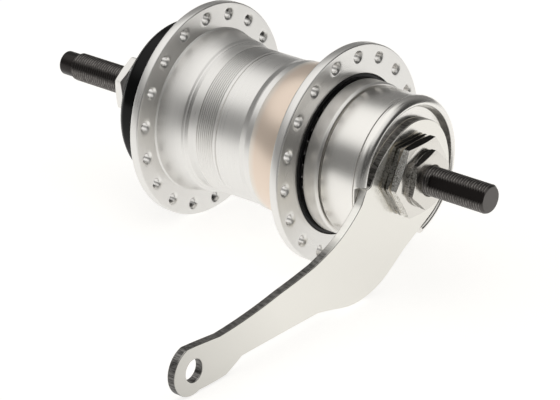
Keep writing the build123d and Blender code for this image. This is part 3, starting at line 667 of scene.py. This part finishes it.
class Shader:
    """A material's node tree with short calls to add and join nodes."""

    def __init__(self, name, colour, metallic, roughness, **sockets):
        self.material = bpy.data.materials.new(name)
        self.material.use_nodes = True
        self.tree = self.material.node_tree
        self.base = self.tree.nodes["Principled BSDF"]
        self.base.inputs["Base Color"].default_value = (*colour, 1)
        self.base.inputs["Metallic"].default_value = metallic
        self.base.inputs["Roughness"].default_value = roughness
        for socket, value in sockets.items():
            self.base.inputs[socket.replace("_", " ")].default_value = value

    def add(self, kind, inputs=None, **settings):
        return add_node(self.tree, kind, inputs or {}, settings)

    def set(self, socket, value):
        feed(self.tree, self.base.inputs[socket], value)

    def math(self, operation, a, b=0.0, c=0.0):
        return self.add("ShaderNodeMath", {0: a, 1: b, 2: c}, operation=operation).outputs[0]

    def remap(self, value, low, high, to_low, to_high):
        node = self.add("ShaderNodeMapRange", {0: value, 1: low, 2: high, 3: to_low, 4: to_high})
        return node.outputs[0]

    def noise(self, vector, scale, detail=2.0, rough=0.5):
        inputs = {"Vector": vector, "Scale": scale, "Detail": detail, "Roughness": rough}
        return self.add("ShaderNodeTexNoise", inputs).outputs[0]

    def place(self):
        """Position in the hub's frame, in metres, as a vector and its three parts."""
        vector = self.add("ShaderNodeTexCoord").outputs["Object"]
        parts = self.add("ShaderNodeSeparateXYZ", {0: vector})
        return vector, parts.outputs[0], parts.outputs[1], parts.outputs[2]

    def axis_distance(self, x, z):
        square = self.math("ADD", self.math("MULTIPLY", x, x), self.math("MULTIPLY", z, z))
        return self.math("SQRT", square)

    def turned_place(self):
        """Radius and distance along the axis, the same all the way round."""
        _, x, y, z = self.place()
        return self.add("ShaderNodeCombineXYZ", {0: self.axis_distance(x, z), 1: y, 2: 0.0}).outputs[0]

    def stretched(self, scale):
        vector, *_ = self.place()
        return self.add("ShaderNodeMapping", {"Vector": vector, "Scale": scale}).outputs[0]

    def normal_parts(self):
        normal = self.add("ShaderNodeNewGeometry").outputs["True Normal"]
        return self.add("ShaderNodeSeparateXYZ", {0: normal}).outputs

    def side_share(self):
        """1 on surfaces that face away from the axis, 0 on faces across it."""
        return self.remap(self.math("ABSOLUTE", self.normal_parts()[1]), 0.35, 0.8, 1.0, 0.0)

    def bump(self, height, strength, distance):
        """Relief of a height in millimetres, on top of any that is there already."""
        previous = self.base.inputs["Normal"].links
        inputs = {"Height": height, "Strength": strength, "Distance": distance * MM}
        if previous:
            inputs["Normal"] = previous[0].from_socket
        self.set("Normal", self.add("ShaderNodeBump", inputs).outputs[0])

    def mix(self, share, a, b):
        """Colour between two others."""
        return self.add("ShaderNodeMix", {0: share, 6: a, 7: b}, data_type="RGBA").outputs[2]

    def vary_roughness(self, noise, amount, level):
        """Roughness of level + amount × noise."""
        self.set("Roughness", self.math("MULTIPLY_ADD", noise, amount, level))

    def radial_tangent(self):
        tangent = self.add("ShaderNodeTangent", direction_type="RADIAL", axis="Y")
        self.set("Tangent", tangent.outputs[0])


def turned_metal(name, colour, roughness, line_mm, line_depth, anisotropic, satin_y=None):
    """Lathe-cut metal: fine lines round the axis, and a little cloudiness.

    It is more satin in a stretch of Y, if one is given.
    """
    shader = Shader(name, colour, 1.0, roughness, Anisotropic=anisotropic)
    lines = shader.noise(shader.turned_place(), 1 / (line_mm * MM), 3.0, 0.65)
    vector, _, y, _ = shader.place()
    clouds = shader.noise(vector, 90.0, 3.0)
    shader.bump(lines, 0.35, line_depth)
    level = shader.math("MULTIPLY_ADD", lines, 0.16, roughness - 0.1)
    if satin_y:
        low, high = (value * MM for value in satin_y)
        start = shader.remap(y, low - 0.3 * MM, low, 0.0, 0.09)
        fade = shader.remap(y, high, high + 4.0 * MM, 1.0, 0.0)
        level = shader.math("ADD", level, shader.math("MULTIPLY", start, fade))
    shader.vary_roughness(clouds, 0.06, level)
    pale = [min(1.0, c * 1.06) for c in colour]
    dark = [c * 0.9 for c in colour]
    shader.set("Base Color", shader.mix(lines, (*dark, 1), (*pale, 1)))
    shader.radial_tangent()
    return shader.material


def plated_steel(name, colour, roughness, side_colour, grain, painted_highlight_x=None, painted_top_shade=1.0):
    """Bright plated plate: smooth faces, and sheared sides with a coarse grain.

    The sides carry a painted highlight, near white, in a stretch of X, if one is given, and painted shade
    where they face up: there their colour is multiplied by painted_top_shade.
    """
    shader = Shader(name, colour, 1.0, roughness)
    side = shader.side_share()
    vector, x, _, _ = shader.place()
    waves = shader.noise(vector, 55.0, 1.0)
    haze = shader.noise(vector, 700.0, 3.0, 0.6)
    pits = shader.noise(shader.stretched(grain), 2400.0, 3.0, 0.7)
    shader.bump(waves, 0.25, 0.02)
    shader.bump(shader.math("MULTIPLY", pits, side), 0.6, 0.06)
    face_rough = shader.math("MULTIPLY_ADD", haze, 0.10, roughness - 0.05)
    side_rough = shader.math("MULTIPLY_ADD", pits, 0.4, 0.2)
    shader.set("Roughness", shader.add("ShaderNodeMix", {0: side, 2: face_rough, 3: side_rough}).outputs[0])
    # painted shade: the sides' colour is multiplied by the grain, and down towards painted_top_shade where
    # they face up
    painted_top_shade_mask = shader.remap(shader.normal_parts()[2], 0.6, 0.9, 1.0, painted_top_shade)
    shade = shader.math("MULTIPLY", shader.remap(pits, 0.38, 0.62, 0.4, 1.7), painted_top_shade_mask)
    inputs = {0: side_colour, "Scale": shade}
    grain_and_painted_light = shader.add("ShaderNodeVectorMath", inputs, operation="SCALE").outputs[0]
    # painted highlight: the sides turn near white in this stretch of X
    if painted_highlight_x:
        low, high = (value * MM for value in painted_highlight_x)
        start = shader.remap(x, low - 0.5 * MM, low + 0.5 * MM, 0.0, 1.0)
        fade = shader.remap(x, high - 4.0 * MM, high + 4.0 * MM, 1.0, 0.0)
        grain_and_painted_light = shader.mix(shader.math("MULTIPLY", start, fade), grain_and_painted_light, (0.95, 0.94, 0.90, 1))
    shader.set("Base Color", shader.mix(side, (*colour, 1), grain_and_painted_light))
    return shader.material


def black_steel():
    """Blackened axle steel, with painted grey highlights on the thread's crests, and cut paler on its end
    faces.
    """
    dark, grey = (0.022, 0.018, 0.017), (0.27, 0.255, 0.245)
    shader = Shader("black_steel", dark, 0.75, 0.34, Specular_IOR_Level=0.6)
    vector, x, _, z = shader.place()
    spots = shader.noise(vector, 900.0, 4.0, 0.6)
    shader.bump(spots, 0.3, 0.02)
    shader.vary_roughness(spots, 0.25, 0.2)
    # painted highlight: grey on the thread's crests, broken up by the spots
    crest_from, crest_full = (THREAD_R - 0.3) * MM, (THREAD_R - 0.06) * MM
    crest = shader.remap(shader.axis_distance(x, z), crest_from, crest_full, 0.0, 1.0)
    grain_and_painted_light = shader.math("MULTIPLY", crest, shader.remap(spots, 0.3, 0.6, 0.25, 1.0))
    cut = shader.remap(shader.side_share(), 0.0, 1.0, 0.35, 0.0)
    share = shader.math("MAXIMUM", grain_and_painted_light, cut)
    shader.set("Base Color", shader.mix(share, (*dark, 1), (*grey, 1)))
    return shader.material


def black_gloss():
    shader = Shader("black_gloss", (0.002, 0.002, 0.002), 0.0, 0.2, Specular_IOR_Level=0.14)
    lines = shader.noise(shader.turned_place(), 900.0)
    shader.bump(lines, 0.15, 0.02)
    shader.vary_roughness(lines, 0.1, 0.12)
    return shader.material


def black_rubber():
    shader = Shader("black_rubber", (0.012, 0.012, 0.013), 0.0, 0.55)
    vector, *_ = shader.place()
    grain = shader.noise(vector, 2500.0, 3.0)
    shader.bump(grain, 0.4, 0.03)
    shader.vary_roughness(grain, 0.2, 0.45)
    return shader.material


def label_film():
    """Peach film with a metal sheen, paler along its drive-side edge."""
    shader = Shader("label_film", (0.93, 0.80, 0.70), 0.55, 0.34, Coat_Weight=0.2, Coat_Roughness=0.3)
    lines = shader.noise(shader.turned_place(), 2500.0)
    _, _, y, _ = shader.place()
    shader.bump(lines, 0.15, 0.01)
    inward = shader.remap(y, LABEL_Y[0] * MM, (LABEL_Y[0] + 2.4) * MM, 0.0, 1.0)
    shader.set("Base Color", shader.mix(inward, (0.91, 0.86, 0.79, 1), (0.90, 0.755, 0.635, 1)))
    shader.vary_roughness(lines, 0.1, 0.28)
    return shader.material


def gear_steel():
    """Ground and oiled steel of the parts inside."""
    shader = Shader("gear_steel", (0.46, 0.46, 0.47), 1.0, 0.3)
    lines = shader.noise(shader.turned_place(), 3000.0, 3.0)
    vector, *_ = shader.place()
    shader.bump(lines, 0.3, 0.02)
    oil = shader.noise(vector, 120.0)
    shader.vary_roughness(oil, 0.15, 0.2)
    shader.set("Base Color", shader.mix(oil, (0.36, 0.35, 0.34, 1), (0.52, 0.52, 0.53, 1)))
    return shader.material


def paint(obj, material):
    obj.data.materials.clear()
    obj.data.materials.append(material)


def paint_node(node, material):
    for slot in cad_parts[node].material_slots:
        slot.material = material


def install(piece, body, node, material):
    """Paint a piece and let it take the place of a CAD node."""
    paint(piece, material)
    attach(piece, body)
    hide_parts(node)


# ---------------------------------------------------------------- stage

def make_floor():
    """White floor. It lights the hub less on the camera's side, though the camera sees it evenly bright."""
    half = FLOOR_HALF * MM
    corners = [(-half, -half), (half, -half), (half, half), (-half, half)]
    mesh = bpy.data.meshes.new("floor")
    mesh.from_pydata([(x, y, FLOOR_Z * MM) for x, y in corners], [], [(0, 1, 2, 3)])
    floor = new_object("floor", mesh)
    shader = Shader("floor", (0.35, 0.35, 0.345), 0.0, 0.7, Emission_Color=LIGHT_COLOUR)
    vector, x, y, _ = shader.place()
    shader.vary_roughness(shader.noise(vector, 40.0), 0.1, 0.65)
    along_y = shader.math("MULTIPLY", y, TOWARDS_CAMERA[1])
    nearer = shader.math("MULTIPLY_ADD", x, TOWARDS_CAMERA[0], along_y)
    start, end = (distance * MM for distance in FLOOR_FADE)
    glow = shader.remap(nearer, start, end, *FLOOR_GLOW)
    seen = shader.add("ShaderNodeLightPath").outputs["Is Camera Ray"]
    seen_glow = shader.math("MULTIPLY", seen, FLOOR_GLOW[0])
    shader.set("Emission Strength", shader.math("MAXIMUM", glow, seen_glow))
    paint(floor, shader.material)


def make_world():
    """Dim room with soft bright zones overhead and a dark one beyond the brake end.

    The camera itself sees plain white.
    """
    world = bpy.data.worlds.new("studio")
    bpy.context.scene.world = world
    world.use_nodes = True
    tree = world.node_tree

    def add(kind, inputs, output, **settings):
        return add_node(tree, kind, inputs, settings).outputs[output]

    direction = add("ShaderNodeTexCoord", {}, "Generated")
    level = ROOM_LEVEL
    for towards, edge, core, strength in SOFT_ZONES:
        axis = Vector(towards).normalized()
        facing = add("ShaderNodeVectorMath", {0: direction, 1: axis}, "Value", operation="DOT_PRODUCT")
        blend = {0: facing, 1: cos(radians(edge)), 2: cos(radians(core)), 3: level, 4: strength}
        level = add("ShaderNodeMapRange", blend, 0, interpolation_type="SMOOTHSTEP")
    seen = add("ShaderNodeLightPath", {}, "Is Camera Ray")
    sky = tree.nodes["Background"]
    feed(tree, sky.inputs["Strength"], add("ShaderNodeMath", {0: level, 1: seen}, 0, operation="MAXIMUM"))
    feed(tree, sky.inputs["Color"], LIGHT_COLOUR)


def make_camera():
    data = bpy.data.cameras.new("camera")
    data.sensor_width = CAMERA_SENSOR
    data.lens = CAMERA_LENS
    data.clip_start = 0.01
    camera = new_object("camera", data)
    camera.location = CAMERA_PLACE
    camera.rotation_euler = (radians(90 - CAMERA_HEIGHT), 0, radians(CAMERA_BEARING))
    bpy.context.scene.camera = camera


# ---------------------------------------------------------------- assembly

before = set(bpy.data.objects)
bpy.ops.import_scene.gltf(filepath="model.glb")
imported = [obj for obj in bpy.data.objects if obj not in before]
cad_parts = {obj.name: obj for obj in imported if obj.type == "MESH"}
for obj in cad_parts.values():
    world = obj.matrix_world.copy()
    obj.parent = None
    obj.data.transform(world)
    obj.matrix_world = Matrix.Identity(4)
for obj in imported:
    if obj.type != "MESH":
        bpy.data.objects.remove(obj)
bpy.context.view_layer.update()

ALUMINIUM = turned_metal(
    "turned_aluminium", (0.82, 0.81, 0.79), roughness=0.29, line_mm=0.25, line_depth=0.006,
    anisotropic=0.65, satin_y=(-27.4, -22.0),
)
CHROME_TURNED = turned_metal(
    "turned_chrome", (0.86, 0.845, 0.815), roughness=0.23, line_mm=0.3, line_depth=0.003, anisotropic=0.3,
)
CHROME_SATIN = turned_metal(
    "satin_chrome", (0.84, 0.825, 0.80), roughness=0.33, line_mm=0.22, line_depth=0.005, anisotropic=0.5,
)
# The arm's sides carry a painted highlight in a stretch of X.
ARM_STEEL = plated_steel(
    "arm_steel", (0.80, 0.785, 0.74), roughness=0.20, side_colour=(0.17, 0.165, 0.16),
    grain=(1.0, 0.12, 1.0), painted_highlight_x=(20.5, 38.0),
)
# Nut steel with pale sides; painted shade turns its upward sides near black.
NUT_STEEL = plated_steel(
    "nut_steel", (0.74, 0.72, 0.68), roughness=0.22, side_colour=(0.82, 0.80, 0.77),
    grain=(1.0, 1.0, 1.0), painted_top_shade=0.03,
)
# Shaded copy of nut_steel: painted shade darkens its sides, and turns its upward sides near black.
NUT_STEEL_PAINTED_SHADE = plated_steel(
    "nut_steel_painted_shade", (0.70, 0.68, 0.64), roughness=0.22, side_colour=(0.32, 0.31, 0.295),
    grain=(1.0, 0.6, 1.0), painted_top_shade=0.08,
)
BLACK_STEEL = black_steel()
BLACK_GLOSS = black_gloss()
BLACK_RUBBER = black_rubber()
LABEL = label_film()
GEAR_STEEL = gear_steel()

PIECES = [
    (make_hub_shell, "shell", "hub_shell", "turned_aluminium", ALUMINIUM),
    (make_label, "shell", "label_band", "label", LABEL),
    (make_seal, "shell", "dust_seal", "black_rubber", BLACK_RUBBER),
    (make_base_ring, "axle_assembly", "brake_cone", "polished_chrome", CHROME_SATIN),
    (make_cap, "axle_assembly", "brake_cap", "polished_chrome", CHROME_TURNED),
    (make_arm, "axle_assembly", "brake_arm", "polished_steel", ARM_STEEL),
    (make_axle, "axle_assembly", "axle", "black_steel", BLACK_STEEL),
    (make_dust_cap, "driver_unit", "right_dust_cap", "black_plastic", BLACK_GLOSS),
]
for build, body, node, slot, material in PIECES:
    install(build(), body, node, material)

NUTS = [
    ("arm_nut", ARM_NUT, None, NUT_STEEL_PAINTED_SHADE),
    ("cone_locknut", CONE_LOCKNUT, None, NUT_STEEL),
    ("left_locknut", LEFT_LOCKNUT, (WASHER_FACE_R, CONE_LOCKNUT[1]), NUT_STEEL_PAINTED_SHADE),
    ("right_locknut", RIGHT_LOCKNUT, None, CHROME_SATIN),
]
for node, size, washer, material in NUTS:
    install(make_nut(f"{node}_hex", *size, washer), "axle_assembly", node, material)

spring = make_spring()
install(spring, "axle_assembly", "clutch_spring", GEAR_STEEL)
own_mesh(spring)

replaced = {row[2] for row in PIECES} | {row[0] for row in NUTS} | {"clutch_spring"}
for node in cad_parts:
    if node not in replaced:
        paint_node(node, GEAR_STEEL)

bpy.context.scene.view_settings.view_transform = "Standard"
make_floor()
make_world()
make_camera()
